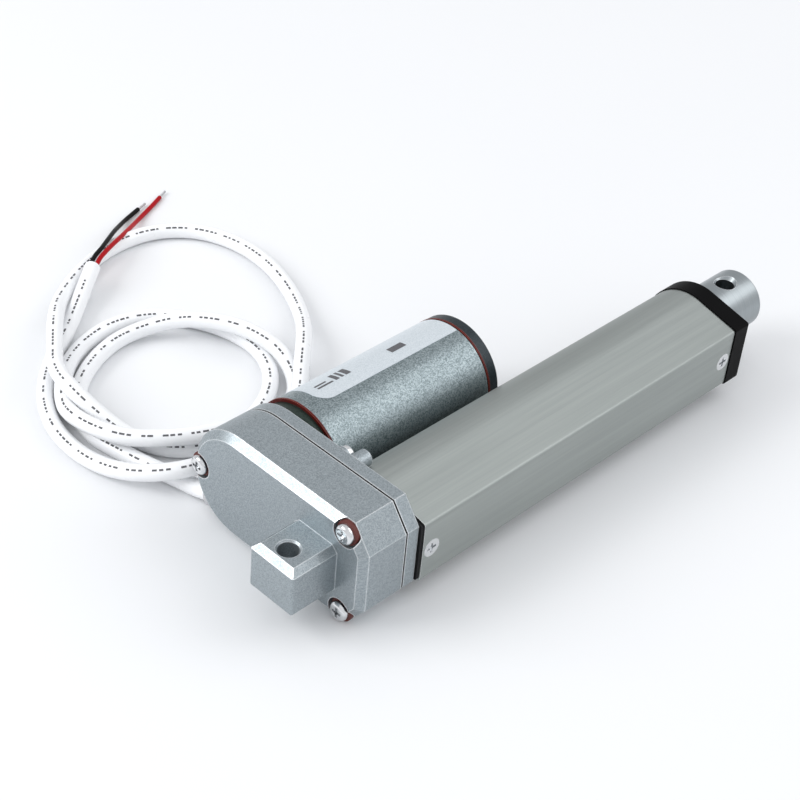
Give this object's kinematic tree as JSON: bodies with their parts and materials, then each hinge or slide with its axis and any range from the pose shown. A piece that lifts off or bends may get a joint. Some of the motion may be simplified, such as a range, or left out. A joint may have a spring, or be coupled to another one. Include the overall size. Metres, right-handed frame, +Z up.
{
  "type": "linear actuator",
  "caption": "Electric linear actuator: a geared motor turns an enclosed screw that pushes a round rod out of a tube. It has a pin hole at each end and a loose two-core cable.",
  "frame": {"origin": "centre of the rear clevis hole, half way up the hole", "axes": "+X along the rod, the way it extends; +Y from the tube to the motor; +Z up along both pin holes"},
  "size_m": [0.2091, 0.2103, 0.036],
  "materials": {
    "housing_paint": "metallic silver paint on a die casting, satin",
    "sleeve_paint": "sparkling hammered silver paint",
    "end_cap_paint": "dark blue-black satin paint",
    "flange_paint": "dark green-black",
    "black_rubber": "matt",
    "red_rubber": "satin silicone",
    "red_fibre": "matt vulcanised fibre",
    "zinc_screw": "bright zinc plate",
    "tube_aluminium": "satin anodised extrusion",
    "rod_aluminium": "fine turned, satin",
    "black_plastic": "fine textured moulding",
    "acetal": "natural acetal",
    "gear_acetal": "natural acetal, lightly greased",
    "label_film": "silver-blue printed film",
    "board_laminate": "green solder mask",
    "steel": "ground steel",
    "brass": "machined brass",
    "ferrite": "dull ferrite",
    "carbon": "pressed carbon",
    "copper": "enamelled copper",
    "grommet_rubber": "pale soft rubber",
    "white_cable": "smooth white vinyl",
    "black_insulation": "smooth vinyl",
    "red_insulation": "smooth vinyl",
    "tinned_copper": "tinned strands"
  },
  "bodies": {
    "housing": {"rear_cover": "housing_paint", "housing_gasket": "black_rubber", "front_plate": "housing_paint", "cover_screws": "zinc_screw", "cover_washers": "red_fibre", "plate_screw": "zinc_screw", "outer_tube": "tube_aluminium", "tube_gasket": "black_rubber", "tube_screws": "zinc_screw", "front_cap": "black_plastic", "rod_seal": "black_rubber", "rod_guide_bush": "acetal", "rear_limit_switch": "black_plastic", "front_limit_switch": "black_plastic", "switch_board": "board_laminate", "switch_diodes": "black_plastic", "switch_leads": "red_insulation", "idler_shaft": "steel", "bearing_outer_race": "steel", "bearing_balls": "steel", "bearing_circlip": "steel", "motor_flange": "flange_paint", "motor_front_gasket": "red_rubber", "motor_sleeve": "sleeve_paint", "motor_label": "label_film", "motor_rear_gasket": "red_rubber", "motor_end_cap": "end_cap_paint", "motor_can": "steel", "motor_magnets": "ferrite", "motor_front_bush": "brass", "motor_rear_bush": "brass", "motor_brush_plate": "black_plastic", "motor_brushes": "carbon", "motor_screws": "zinc_screw", "cable_grommet": "grommet_rubber", "cable_jacket": "white_cable", "black_core": "black_insulation", "red_core": "red_insulation", "core_tips": "tinned_copper"},
    "screw": {"lead_screw": "steel", "output_gear": "gear_acetal", "gear_pin": "steel", "screw_collar": "steel", "bearing_inner_race": "steel"},
    "idler": {"idler_pinion": "steel", "idler_wheel": "gear_acetal"},
    "armature": {"motor_shaft": "steel", "motor_pinion": "brass", "armature_core": "steel", "armature_windings": "copper", "commutator": "copper"},
    "rod": {"rod_tube": "rod_aluminium", "rod_end": "rod_aluminium", "rod_pins": "steel", "drive_nut": "acetal"}
  },
  "joints": [
    {"name": "armature_spin", "type": "hinge", "parent": "housing", "child": "armature", "pos_m": [0.06, 0.03375, 0], "axis": [1, 0, 0], "range_deg": [-67500, 0]},
    {"name": "idler_spin", "type": "hinge", "parent": "housing", "child": "idler", "pos_m": [0.02, 0.018, 0], "axis": [1, 0, 0], "range_deg": [0, 27500]},
    {"name": "screw_spin", "type": "hinge", "parent": "housing", "child": "screw", "pos_m": [0.06, 0, 0], "axis": [1, 0, 0], "range_deg": [-9150, 0]},
    {"name": "rod_slide", "type": "slide", "parent": "housing", "child": "rod", "axis": [1, 0, 0], "range_m": [0, 0.1]}
  ],
  "couplings": [
    {"joint": "idler_spin", "follows": "armature_spin", "ratio": -0.4},
    {"joint": "screw_spin", "follows": "armature_spin", "ratio": 0.13333},
    {"joint": "rod_slide", "follows": "armature_spin", "m_per_rad": -0.000084883}
  ]
}
